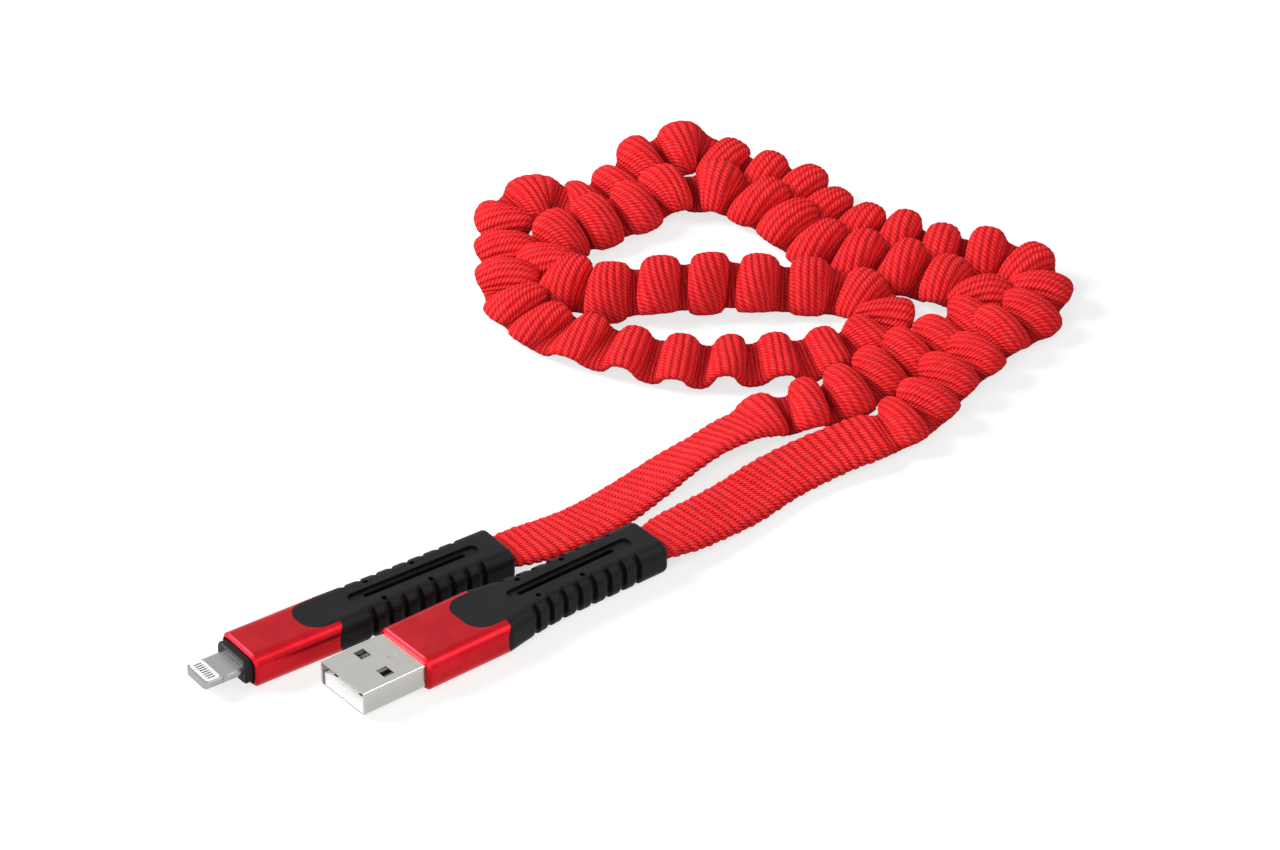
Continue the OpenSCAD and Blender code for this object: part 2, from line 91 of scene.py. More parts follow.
# The strap's route, in millimetres, from the large plug round the coil to the slim plug
COIL_HEIGHT = 4.6
USB_FLAT = [(-1, 54, 2.4), (-1, 65, 1.6), (-2, 76, 1.6), (-2, 87, 2.2), (-1, 96, 3.4)]
COIL = [
    (0, 104), (-3, 113), (-7, 123), (-10, 132), (-11, 141), (-15, 149), (-21, 154),
    (-29, 154), (-37, 150), (-45, 145), (-54, 141), (-65, 140), (-77, 141), (-89, 139),
    (-97, 134), (-100, 125), (-99, 115), (-98, 106), (-100, 98), (-99, 90), (-94, 83),
    (-86, 77), (-78, 74), (-70, 73), (-61, 73), (-53, 76), (-45, 81), (-37, 88),
    (-31, 96), (-27, 104), (-26, 112), (-29, 120), (-35, 123), (-42, 121), (-48, 114),
    (-53, 107), (-57, 100), (-62, 93), (-68, 87), (-76, 84), (-83, 87), (-87, 94),
    (-87, 103), (-87, 112), (-88, 121), (-83, 129), (-74, 131), (-64, 130), (-54, 130),
    (-45, 133), (-38, 136), (-31, 139), (-25, 139), (-20, 134), (-19, 127), (-17, 120),
    (-15, 112), (-14, 103), (-16, 94)]
SLIM_FLAT = [(-18, 86, 3.4), (-18, 76, 2.2), (-18, 65, 1.6), (-17, 54, 1.6), (-16, 43, 1.6), (-15, 33, 2.4)]

# How far the soft strap settles aside of its route, in millimetres, at points counted along the coil
SETTLED = {
    -4: (-1.3, 0.3, 0.0), -3: (-2.0, 0.5, 0.0), -2: (-1.6, 0.4, 0.0), -1: (-0.5, 0.0, 0.0),
    1: (-0.6, 0.4, 0.0), 2: (-0.9, 0.7, 0.0), 3: (-1.0, 1.0, 0.0), 4: (-1.0, 1.0, 0.0),
    5: (-0.8, 0.8, 0.0), 8: (0.5, -0.6, -0.2), 9: (1.0, -0.8, -0.3), 10: (1.0, -0.8, -0.3),
    11: (0.8, -0.6, -0.2), 12: (1.6, -1.3, -0.4), 13: (2.4, -1.8, -0.5), 14: (0.4, -0.3, 0.6),
    15: (1.2, -0.2, 0.0), 16: (2.4, -1.9, -1.1), 17: (2.0, -1.5, -0.8), 18: (-1.6, 0.9, 0.0),
    19: (-1.2, 0.0, 0.2), 20: (1.8, 1.6, 0.0), 21: (1.7, 1.5, 0.0), 30: (1.2, 1.6, 0.0),
    31: (1.6, 2.2, 0.0), 32: (1.4, 1.8, 0.0), 33: (0.5, 0.8, 0.2), 34: (0.0, 0.3, 0.8),
    35: (-0.3, 0.3, 1.2), 36: (-0.5, 0.4, 1.3), 37: (-0.4, 0.3, 1.2), 38: (0.0, 0.0, 0.7),
    51: (1.0, 1.4, 0.0), 52: (1.6, 2.2, 0.0), 53: (1.8, 2.4, 0.0), 54: (1.6, 1.8, 0.0),
    55: (0.6, 0.8, 0.0), 57: (1.2, -0.6, 0.0), 58: (1.8, -0.8, 0.0), 59: (1.0, -0.4, 1.0),
    60: (0.0, 0.0, 1.3), 61: (0.2, 0.0, 0.8), 62: (0.9, 0.0, 0.0), 63: (1.7, 0.0, 0.0),
    64: (1.3, 0.0, 0.0)}

# How the gathers change along the route, in millimetres and degrees, one row a place, counted in coil points:
# half the folds' height, fold length, lean towards the viewer, roundness and breadth of the crests, how far
# the crests lean along the strap, how far the strap sinks to the floor, and how far the crests' corners curl
GATHERS = [
    (-6, 0.0, 9.3, 0, 0.2, 0.2, 0.0, 0.0, 0.0),
    (-4, 0.0, 9.3, 10, 0.2, 0.2, 0.0, -0.8, 0.0),
    (-1.6, 0.0, 9.3, 6, 0.2, 0.2, 0.0, -0.4, 0.0),
    (-0.6, 1.7, 9.3, 10, 0.4, 0.15, 0.0, 0.3, 1.6),
    (2, 2.1, 9.0, 24, 0.5, 0.2, 0.1, 0.0, 2.0),
    (5, 2.1, 8.9, 30, 0.55, 0.2, 0.1, 0.0, 2.2),
    (8, 2.1, 8.9, 32, 0.55, 0.25, 0.1, 0.0, 2.3),
    (12, 2.1, 8.9, 32, 0.55, 0.25, 0.1, 0.0, 2.3),
    (15, 1.8, 8.9, 28, 0.5, 0.2, 0.1, 0.0, 2.0),
    (17, 1.3, 9.2, 20, 0.4, 0.1, 0.0, 0.0, 1.4),
    (19, 2.1, 9.2, 28, 0.5, 0.2, 0.0, 0.0, 2.2),
    (22, 2.1, 9.2, 30, 0.5, 0.2, 0.05, 0.1, 2.2),
    (24.5, 1.5, 9.6, 20, 0.42, 0.05, 0.0, 0.5, 0.3),
    (29, 1.35, 9.6, 18, 0.42, 0.05, 0.0, 0.6, 0.0),
    (32, 1.9, 8.9, 28, 0.4, 0.1, 0.0, 0.3, 1.4),
    (35, 1.9, 9.6, 42, 0.7, 0.45, 0.3, -0.1, 1.8),
    (39, 1.9, 9.6, 43, 0.7, 0.45, 0.3, -0.2, 1.8),
    (44, 2.2, 9.0, 32, 0.55, 0.2, 0.1, 0.0, 2.2),
    (50, 2.2, 8.9, 30, 0.55, 0.25, -0.1, 0.0, 2.3),
    (55, 2.1, 8.8, 25, 0.55, 0.2, -0.1, 0.0, 2.2),
    (58.8, 1.9, 8.8, 12, 0.5, 0.2, -0.1, 0.0, 2.0),
    (59.6, 1.4, 8.8, -14, 0.3, 0.2, 0.0, -0.2, 1.0),
    (60.4, 0.4, 8.8, -24, 0.2, 0.2, 0.0, -0.4, 0.4),
    (61.4, 0.0, 8.8, -22, 0.2, 0.2, 0.0, -0.2, 0.0),
    (63, 0.0, 8.8, -8, 0.2, 0.2, 0.0, 0.0, 0.0),
    (65, 0.0, 8.8, 0, 0.2, 0.2, 0.0, 0.0, 0.0)]

# Where the gathers start, grow, end, fade and have their first crest, in coil points
GATHER_START = -1.4
GATHER_GROWTH = 1.0
GATHER_END = len(COIL) + 0.9
GATHER_FADING = 1.2
FIRST_CREST = -0.2

# How unlike each other the folds are: in length, height and lean along the strap by a share, in lean towards
# the viewer by degrees, in slant across the strap by radians a millimetre, and in place aside by millimetres
USUAL_FOLD = 9
LENGTH_VARIES = 0.13
HEIGHT_VARIES = 0.20
CREST_LEAN_VARIES = 0.12
LEAN_VARIES = 13
SLANT = 0.05
SLANT_VARIES = 0.08
ASIDE_VARIES = 0.7

# Form of the crests: how sharply their corners curl, and how far they swell sideways
CORNER_POWER = 2.2
CREST_SWELL = 0.08

# How far a sunk strap moves back along the floor, for each millimetre, to keep its place in the view
SINK_BACK = 1.51

# The strap's section, in millimetres, and the squareness and roundness of its edges
STRAP_WIDTH = 12.0
ROOT_WIDTH = 8.2
EXIT_WIDTH = 8.9
GATHERED_WIDTH = 10.2
STRAP_THICKNESS = 2.3
GATHERED_THICKNESS = 2.1
EDGE_SQUARENESS = 6
EDGE_ROUNDNESS = 0.45

# Over how many route points the strap narrows inside a boot, and spreads behind it
NECK_POINTS = 0.2
SPREAD_POINTS = 0.9

# The ribs, in millimetres
FLAT_RIB = 1.7
GATHERED_RIB = 1.12
RIB_DEPTH = 0.34
GATHERED_DEPTH_LOSS = 0.12
RIB_SHARPNESS = 0.7

# The selvedge: its share of the ribs' cut, beat in millimetres, loss in the gathers and narrowness
SELVEDGE_CUT = 0.7
SELVEDGE_BEAT = 0.12
SELVEDGE_LOSS = 0.75
SELVEDGE_POWER = 12

# Height in millimetres below which the strap flattens on the floor
FLOOR_EASE = 0.5

# How finely the strap is sampled along its route
POINT_STEPS = 24
ROUTE_SAMPLES = 6000
RIB_SAMPLES = 16000
RINGS_PER_RIB = 4

# How finely it is sampled across: the inner points of its top, and the shares of the half width they reach
INNER_POINTS = 13
INNER_SHARE = 0.87
EDGE_SHARE = 0.97

# Steps over which its slopes are taken, in millimetres along it and in shares across it
PLACE_STEP = 0.05
SHARE_STEP = 0.02

# Half the strap's width and thickness as the weave's map counts them, in millimetres
MAP_HALF_WIDTH = 5.5
MAP_HALF_THICKNESS = 1.1

# Sheet metals: part of a node's name, material, colour, duller colour, roughness, and whether it lies
# along the slim plug
SHEET_METALS = [
    ("sleeve", "plated_steel", (0.61, 0.60, 0.57), (0.575, 0.565, 0.535), 0.2, False),
    ("slim_tab", "tab_steel", (0.46, 0.45, 0.44), (0.41, 0.40, 0.39), 0.32, True),
    ("contact", "gold_contact", (0.30, 0.28, 0.24), (0.25, 0.23, 0.19), 0.38, False)]

# Plain finishes: part of a node's name, material, colour, darker colour, roughness and shine
PLAIN_FINISHES = [
    ("collar", "black_collar", (0.014, 0.012, 0.013), (0.009, 0.008, 0.009), 0.4, 0.15),
    ("tongue", "white_tongue", (0.80, 0.79, 0.80), (0.77, 0.76, 0.77), 0.38, 0.5),
    ("panel", "white_panel", (0.88, 0.88, 0.89), (0.85, 0.85, 0.86), 0.35, 0.5),
    ("inner_mould", "inner_mould", (0.72, 0.71, 0.68), (0.66, 0.65, 0.62), 0.5, 0.5),
    ("board", "green_board", (0.012, 0.12, 0.055), (0.008, 0.09, 0.04), 0.3, 0.5),
    ("chip", "black_chip", (0.03, 0.03, 0.032), (0.02, 0.02, 0.022), 0.4, 0.5),
    ("wire_1", "wire_red", (0.55, 0.01, 0.012), (0.48, 0.008, 0.01), 0.4, 0.5),
    ("wire_2", "wire_white", (0.75, 0.75, 0.73), (0.7, 0.7, 0.68), 0.4, 0.5),
    ("wire_3", "wire_green", (0.01, 0.22, 0.03), (0.008, 0.18, 0.025), 0.4, 0.5),
    ("wire_4", "wire_black", (0.015, 0.015, 0.016), (0.01, 0.01, 0.011), 0.4, 0.5)]

# Kinds of node socket
VECTOR = "NodeSocketVector"
VALUE = "NodeSocketFloat"

# Detail of a fine noise and a plain one, and the range in which a noise mostly stays
FINE = 3.0
PLAIN = 2.0
NOISE_LOW = 0.3
NOISE_HIGH = 0.7


def slim_point(y):
    """Point on the slim plug's middle line, y millimetres along the plug."""
    return (SLIM_ORIGIN.x - y * math.sin(SLIM_TURN), SLIM_ORIGIN.y + y * math.cos(SLIM_TURN), PLUG_HEIGHT)


BOOT_PLACES = [BOOT_START, BOOT_MIDDLE, BOOT_END]
ROUTE = ([(0, y, PLUG_HEIGHT) for y in BOOT_PLACES]
         + USB_FLAT
         + [(x, y, COIL_HEIGHT) for x, y in COIL]
         + SLIM_FLAT
         + [slim_point(y) for y in reversed(BOOT_PLACES)])
FIRST_COIL = len(BOOT_PLACES) + len(USB_FLAT)


def add_camera():
    """A long lens that looks down on the coil from beyond the mouth of the large plug."""
    back = Vector((math.sin(VIEW_AZIMUTH) * math.cos(VIEW_ELEVATION),
                   -math.cos(VIEW_AZIMUTH) * math.cos(VIEW_ELEVATION),
                   math.sin(VIEW_ELEVATION)))
    data = bpy.data.cameras.new("camera")
    data.sensor_fit = "HORIZONTAL"
    data.sensor_width = SENSOR_WIDTH
    data.lens = LENS
    data.clip_end = VIEW_REACH
    camera = bpy.data.objects.new("camera", data)
    bpy.context.scene.collection.objects.link(camera)
    camera.location = VIEW_TARGET + back * VIEW_DISTANCE
    camera.rotation_euler = (-back).to_track_quat("-Z", "Y").to_euler()
    bpy.context.scene.camera = camera


def smooth_line(points, steps):
    """Smooth curve through all the points, with the place of each sample counted in points."""
    p = np.array(points, float)
    p = np.vstack([2 * p[0] - p[1], p, 2 * p[-1] - p[-2]])
    t = np.linspace(0, 1, steps, endpoint=False)[:, None]
    stretches = []
    for a, b, c, d in zip(p[:-3], p[1:-2], p[2:-1], p[3:]):
        squared = (2 * a - 5 * b + 4 * c - d) * t ** 2
        cubed = (3 * b - a - 3 * c + d) * t ** 3
        stretches.append(0.5 * (2 * b + (c - a) * t + squared + cubed))
    stretches.append(p[-2:-1])
    line = np.vstack(stretches)
    return line, np.arange(len(line)) / steps


def running_sum(steps):
    return np.concatenate([[0], np.cumsum(steps)])


def running_length(line):
    """Length of a line up to each of its points."""
    return running_sum(np.linalg.norm(np.diff(line, axis=0), axis=1))


def unit_rows(vectors):
    return vectors / np.linalg.norm(vectors, axis=-1, keepdims=True)


def level_ends(share):
    """Ease from 0 to 1, level at both ends."""
    return share * share * (3 - 2 * share)


def strap_route():
    """Centreline of the strap at even steps, with each step's place in route points and in millimetres."""
    settled = []
    for i, point in enumerate(ROUTE):
        settled.append(Vector(point) + Vector(SETTLED.get(i - FIRST_COIL, (0, 0, 0))))
    line, station = smooth_line(settled, POINT_STEPS)
    length = running_length(line)
    even = np.linspace(0, length[-1], ROUTE_SAMPLES)
    centre = np.column_stack([np.interp(even, length, axis) for axis in line.T])
    return centre, np.interp(even, length, station), even


def wander(fold_number, seed):
    """Value between -1 and 1 that drifts from fold to fold, the same on every run."""
    values = np.random.RandomState(seed).uniform(-1, 1, int(fold_number[-1]) + 3)
    whole = np.floor(fold_number).astype(int)
    part = level_ends(fold_number - whole)
    return values[whole] + (values[whole + 1] - values[whole]) * part


def strap_width(station, gather):
    """Width along the strap: narrow inside the boots, widest on the flat stretches, less in the gathers."""
    boot_points = len(BOOT_PLACES)
    from_boot = np.minimum(station - (boot_points - 1), len(ROUTE) - boot_points - station)
    spread = np.clip(from_boot / SPREAD_POINTS, 0, 1)
    spread = spread * (2 - spread)
    inside = np.interp(from_boot, [-NECK_POINTS, 0], [ROOT_WIDTH, EXIT_WIDTH])
    outside = EXIT_WIDTH + (STRAP_WIDTH - EXIT_WIDTH) * spread
    width = np.where(from_boot < 0, inside, outside)
    return width + (GATHERED_WIDTH - width) * gather


def strap_rows(centre, station, length):
    """All that changes along the strap, one array a name, sampled as its centreline is."""
    coil_place = station - FIRST_COIL
    table = np.array(GATHERS, float)
    columns = [np.interp(coil_place, table[:, 0], column) for column in table[:, 1:].T]
    height, fold, lean, roundness, breadth, crest_lean, sink, corner = columns
    growing = (coil_place - GATHER_START) / GATHER_GROWTH
    fading = (GATHER_END - coil_place) / GATHER_FADING
    gather = level_ends(np.clip(np.minimum(growing, fading), 0, 1))

    # No two folds are quite alike
    fold = fold * (1 + LENGTH_VARIES * wander(length / USUAL_FOLD, seed=3))
    phase = FULL_TURN * running_sum(np.diff(length) / fold[1:])
    number = phase / FULL_TURN
    height = height * gather * (1 + HEIGHT_VARIES * wander(number, seed=5))
    lean = np.radians(lean) + gather * np.radians(LEAN_VARIES) * wander(number, seed=7)
    slant = gather * (SLANT + SLANT_VARIES * wander(number, seed=11))
    aside = ASIDE_VARIES * gather * wander(number, seed=13)
    crest_lean = crest_lean + CREST_LEAN_VARIES * wander(number, seed=17)

    # The first crest stands straight after the large plug's flat stretch
    phase = phase - np.interp(FIRST_CREST, coil_place, phase) + math.pi / 2

    # The strap's face leans towards the viewer, and where it sinks to the floor it moves back along the view
    up = np.array([0, 0, 1])
    toward = np.array([math.sin(VIEW_AZIMUTH), -math.cos(VIEW_AZIMUTH), 0])
    tangent = unit_rows(np.gradient(centre, axis=0))
    face = np.outer(np.cos(lean), up) + np.outer(np.sin(lean), toward)
    normal = unit_rows(face - tangent * np.sum(face * tangent, axis=1, keepdims=True))
    return {
        "length": length, "gather": gather, "phase": phase, "slant": slant, "aside": aside,
        "height": height, "corner": corner, "crest_lean": crest_lean, "roundness": roundness,
        "breadth": breadth, "width": strap_width(station, gather),
        # How deep a point lies in a fold, which the weave turns into painted shade down in the folds
        "fold": gather * (0.5 - 0.5 * np.sin(phase)),
        "middle": centre - np.outer(sink, up + SINK_BACK * toward),
        "tangent": tangent, "normal": normal, "across": np.cross(tangent, normal)}


def surface_points(rows, place, share):
    """Points of the strap's middle surface: a row for each place, in millimetres along the route, and a
    column for each share of the half width, from -1 to 1."""
    def pick(name):
        values = rows[name]
        if values.ndim == 1:
            return np.interp(place, rows["length"], values)[:, None]
        return np.column_stack([np.interp(place, rows["length"], axis) for axis in values.T])[:, None, :]

    share = share[None, :]
    gather = pick("gather")
    corner = pick("corner")
    x = share * pick("width") / 2
    turn = pick("phase") + pick("slant") * x
    crest = np.sin(turn)
    # Crests stand up along the normal, swell over the folds between them and curl down at their corners
    curl = corner * gather * np.abs(share) ** CORNER_POWER * (0.5 + 0.5 * crest)
    rise = pick("height") * crest - curl
    slide = gather * (pick("crest_lean") * rise
                      - pick("roundness") * np.sin(2 * turn)
                      - pick("breadth") * np.cos(turn))
    swell = 1 + CREST_SWELL * corner * gather * crest
    return (pick("middle")
            + pick("normal") * rise[..., None]
            + pick("tangent") * slide[..., None]
            + pick("across") * (x * swell + pick("aside"))[..., None])


def strap_section():
    """Shares across and through the strap, once round one ring."""
    inner = np.linspace(-INNER_SHARE, INNER_SHARE, INNER_POINTS)
    across = np.concatenate([[-1.0, -EDGE_SHARE], inner, [EDGE_SHARE, 1.0]])
    through = (1 - np.abs(across) ** EDGE_SQUARENESS) ** EDGE_ROUNDNESS
    over = list(zip(across, through))
    # The hidden underside needs fewer points
    under = [(x, -z) for x, z in over[-2:0:-1][::2]]
    return np.array(over + under).T


def ring_places(rows):
    """Place along the route and count of ribs so far, at each ring. The ribs are counted along the woven
    surface, so that they stay even through the folds."""
    fine = np.linspace(0, rows["length"][-1], RIB_SAMPLES)
    woven = running_length(surface_points(rows, fine, np.array([0.0]))[:, 0, :])
    gather = np.interp(fine, rows["length"], rows["gather"])
    rib_length = FLAT_RIB + (GATHERED_RIB - FLAT_RIB) * gather
    ribs = running_sum(np.diff(woven) / rib_length[1:])
    rib = np.arange(int(ribs[-1]) * RINGS_PER_RIB + 1) / RINGS_PER_RIB
    return np.interp(rib, ribs, fine), rib


def ring_points(rows, place, rib, share, through):
    """Points of every ring: the middle surface made thick and ribbed, and laid on the floor."""
    gather = np.interp(place, rows["length"], rows["gather"])
    surface = surface_points(rows, place, share)
    ahead, behind = [surface_points(rows, place + step, share) for step in (PLACE_STEP, -PLACE_STEP)]
    right, left = [surface_points(rows, place, share + step) for step in (SHARE_STEP, -SHARE_STEP)]
    along, sideways = ahead - behind, right - left
    normal = unit_rows(np.cross(sideways, along))
    ridge = np.abs(np.cos(math.pi * rib)) ** RIB_SHARPNESS
    rib_cut = (RIB_DEPTH - GATHERED_DEPTH_LOSS * gather) * (ridge - 1)
    half = (STRAP_THICKNESS + (GATHERED_THICKNESS - STRAP_THICKNESS) * gather) / 2
    points = surface + normal * (np.outer(half, through) + np.outer(rib_cut, through))[..., None]
    # The selvedge draws in at each groove and stands out at every second rib
    out = (SELVEDGE_CUT * rib_cut + SELVEDGE_BEAT * np.cos(math.pi * rib)) * (1 - SELVEDGE_LOSS * gather)
    edge = unit_rows(sideways) * (np.sign(share) * np.abs(share) ** SELVEDGE_POWER)[None, :, None]
    points = points + edge * out[:, None, None]
    # What would press into the floor lies flat on it
    low = points[..., 2]
    pressed = FLOOR_EASE * np.exp(np.minimum(low, FLOOR_EASE) / FLOOR_EASE - 1)
    points[..., 2] = np.where(low < FLOOR_EASE, pressed, low)
    return points


def strap_mesh(points, rib, share, through):
    """Closed tube over the rings, with a map that counts ribs along it and millimetres round it."""
    rings, size = points.shape[:2]
    ring, side = np.meshgrid(np.arange(rings - 1), np.arange(size), indexing="ij")
    following = (side + 1) % size
    corners = [ring * size + side, ring * size + following,
               (ring + 1) * size + following, (ring + 1) * size + side]
    quads = np.stack(corners, axis=-1).reshape(-1, 4).tolist()
    first_cap = list(range(size))[::-1]
    last_cap = [(rings - 1) * size + k for k in range(size)]
    mesh = bpy.data.meshes.new("strap_weave")
    mesh.from_pydata((points * MM).reshape(-1, 3).tolist(), [], quads + [first_cap, last_cap])

    width_steps = np.diff(np.append(share, share[0])) * MAP_HALF_WIDTH
    thickness_steps = np.diff(np.append(through, through[0])) * MAP_HALF_THICKNESS
    around = running_sum(np.hypot(width_steps, thickness_steps))
    u = np.stack([rib[ring], rib[ring], rib[ring + 1], rib[ring + 1]], axis=-1)
    v = np.stack([around[side], around[side + 1], around[side + 1], around[side]], axis=-1)
    # The corners of both hidden caps lie at the map's origin
    caps = np.zeros((2, size, 2))
    weave_map = np.concatenate([np.stack([u, v], axis=-1).reshape(-1), caps.reshape(-1)])
    mesh.uv_layers.new(name="weave").data.foreach_set("uv", weave_map)
    return mesh


def add_strap():
    """One woven mesh over the strap's whole route."""
    centre, station, length = strap_route()
    rows = strap_rows(centre, station, length)
    place, rib = ring_places(rows)
    share, through = strap_section()
    mesh = strap_mesh(ring_points(rows, place, rib, share, through), rib, share, through)
    # The fold attribute carries the depth in the folds, which the weave uses for painted shade
    for name in ("gather", "fold"):
        values = np.repeat(np.interp(place, length, rows[name]), len(share))
        mesh.attributes.new(name, "FLOAT", "POINT").data.foreach_set("value", values)
    mesh.polygons.foreach_set("use_smooth", [True] * len(mesh.polygons))
    mesh.update()
    strap = bpy.data.objects.new("strap_weave", mesh)
    bpy.context.scene.collection.objects.link(strap)
    strap.data.materials.append(red_weave())
    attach(strap, BODY)
    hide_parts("strap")


def new_material(name, metallic=0.0, shine=0.5):
    """Material with its shader's constants set. Its colour and roughness are linked by its own function."""
    material = bpy.data.materials.new(name)
    material.use_nodes = True
    shader = material.node_tree.nodes["Principled BSDF"]
    shader.inputs["Metallic"].default_value = metallic
    shader.inputs["Specular IOR Level"].default_value = shine
    return material, material.node_tree, shader


def new_group(name, inputs, outputs):
    """Empty node group. inputs: kinds of socket by name. outputs: names of values."""
    tree = bpy.data.node_groups.new(name, "ShaderNodeTree")
    for label, kind in inputs.items():
        tree.interface.new_socket(name=label, in_out="INPUT", socket_type=kind)
    for label in outputs:
        tree.interface.new_socket(name=label, in_out="OUTPUT", socket_type=VALUE)
    return tree, tree.nodes.new("NodeGroupInput").outputs, tree.nodes.new("NodeGroupOutput").inputs


def feed(tree, socket, value):
    """Link a socket to another, or set its value."""
    if isinstance(value, bpy.types.NodeSocket):
        tree.links.new(value, socket)
    else:
        socket.default_value = value


def maths(tree, operation, *values):
    node = tree.nodes.new("ShaderNodeMath")
    node.operation = operation
    for socket, value in zip(node.inputs, values):
        feed(tree, socket, value)
    return node.outputs[0]


def times(tree, first, second):
    return maths(tree, "MULTIPLY", first, second)


def ramp(tree, value, low, high, to_low=0.0, to_high=1.0):
    """Smooth step of a value from one range to another."""
    node = tree.nodes.new("ShaderNodeMapRange")
    node.interpolation_type = "SMOOTHSTEP"
    feed(tree, node.inputs["Value"], value)
    feed(tree, node.inputs["From Min"], low)
    feed(tree, node.inputs["From Max"], high)
    feed(tree, node.inputs["To Min"], to_low)
    feed(tree, node.inputs["To Max"], to_high)
    return node.outputs["Result"]


def noise(tree, vector, scale, detail):
    node = tree.nodes.new("ShaderNodeTexNoise")
    feed(tree, node.inputs["Vector"], vector)
    feed(tree, node.inputs["Scale"], scale)
    feed(tree, node.inputs["Detail"], detail)
    return node.outputs["Fac"]


def noise_ramp(tree, value, to_low=0.0, to_high=1.0):
    """Smooth step of a noise over the range in which it mostly stays."""
    return ramp(tree, value, NOISE_LOW, NOISE_HIGH, to_low, to_high)


def mix_colour(tree, factor, low, high):
    """Mix of two colours, each a socket or three shares."""
    node = tree.nodes.new("ShaderNodeMix")
    node.data_type = "RGBA"
    feed(tree, node.inputs["Factor"], factor)
    for label, colour in (("A", low), ("B", high)):
        feed(tree, node.inputs[label], colour if isinstance(colour, bpy.types.NodeSocket) else (*colour, 1))
    return node.outputs["Result"]


def split_axes(tree, vector):
    node = tree.nodes.new("ShaderNodeSeparateXYZ")
    tree.links.new(vector, node.inputs[0])
    return node.outputs["X"], node.outputs["Y"], node.outputs["Z"]


def join_axes(tree, *axes):
    node = tree.nodes.new("ShaderNodeCombineXYZ")
    for socket, axis in zip(node.inputs, axes):
        tree.links.new(axis, socket)
    return node.outputs[0]


def use_group(tree, group, **values):
    """Place a node group in a material, with its inputs given by name and _ for a space."""
    node = tree.nodes.new("ShaderNodeGroup")
    node.node_tree = group
    for label, value in values.items():
        feed(tree, node.inputs[label.replace("_", " ")], value)
    return node.outputs


def object_place(tree, turned=False):
    """Object coordinates, or the slim plug's own ones."""
    place = tree.nodes.new("ShaderNodeTexCoord").outputs["Object"]
    if not turned:
        return place
    mapping = tree.nodes.new("ShaderNodeMapping")
    mapping.vector_type = "TEXTURE"
    mapping.inputs["Location"].default_value = SLIM_ORIGIN * MM
    mapping.inputs["Rotation"].default_value = (0, 0, SLIM_TURN)
    tree.links.new(place, mapping.inputs["Vector"])
    return mapping.outputs["Vector"]


def attribute(tree, name):
    node = tree.nodes.new("ShaderNodeAttribute")
    node.attribute_name = name
    return node.outputs["Fac"]


def bump(tree, shader, height, distance):
    """Relief of the given height socket, its distance in metres."""
    node = tree.nodes.new("ShaderNodeBump")
    node.inputs["Distance"].default_value = distance
    tree.links.new(height, node.inputs["Height"])
    tree.links.new(node.outputs["Normal"], shader.inputs["Normal"])


def grain_group():
    """Fine moulded or blasted grain, with a slow cloudiness over it."""
    tree, given, result = new_group(
        "surface_grain", {"Place": VECTOR, "Grain Scale": VALUE, "Cloud Scale": VALUE}, ["Grain", "Cloud"])
    tree.links.new(noise(tree, given["Place"], given["Grain Scale"], FINE), result["Grain"])
    tree.links.new(noise(tree, given["Place"], given["Cloud Scale"], PLAIN), result["Cloud"])
    return tree


def drawn_group():
    """Fine lines that run along drawn or rolled sheet metal."""
    tree, given, result = new_group(
        "drawn_lines", {"Place": VECTOR, "Line Scale": VALUE, "Stretch": VALUE}, ["Lines"])
    x, y, z = split_axes(tree, given["Place"])
    stretched = join_axes(tree, x, times(tree, y, given["Stretch"]), z)
    tree.links.new(noise(tree, stretched, given["Line Scale"], FINE), result["Lines"])
    return tree


def band_group():
    """Mask of the band round a plug that lies between two places along it."""
    tree, given, result = new_group(
        "band_along_plug", {"Place": VECTOR, "Start": VALUE, "End": VALUE, "Softness": VALUE}, ["Band"])
    _, y, _ = split_axes(tree, given["Place"])
    before = maths(tree, "SUBTRACT", given["Start"], given["Softness"])
    after = maths(tree, "ADD", given["End"], given["Softness"])
    rising = ramp(tree, y, before, given["Start"])
    falling = ramp(tree, y, given["End"], after, 1.0, 0.0)
    tree.links.new(times(tree, rising, falling), result["Band"])
    return tree


def white_noise(tree, dimensions, label, value):
    """Random value of its own for each whole number, or pair of them, that it is given."""
    node = tree.nodes.new("ShaderNodeTexWhiteNoise")
    node.noise_dimensions = dimensions
    tree.links.new(value, node.inputs[label])
    return node.outputs["Value"]


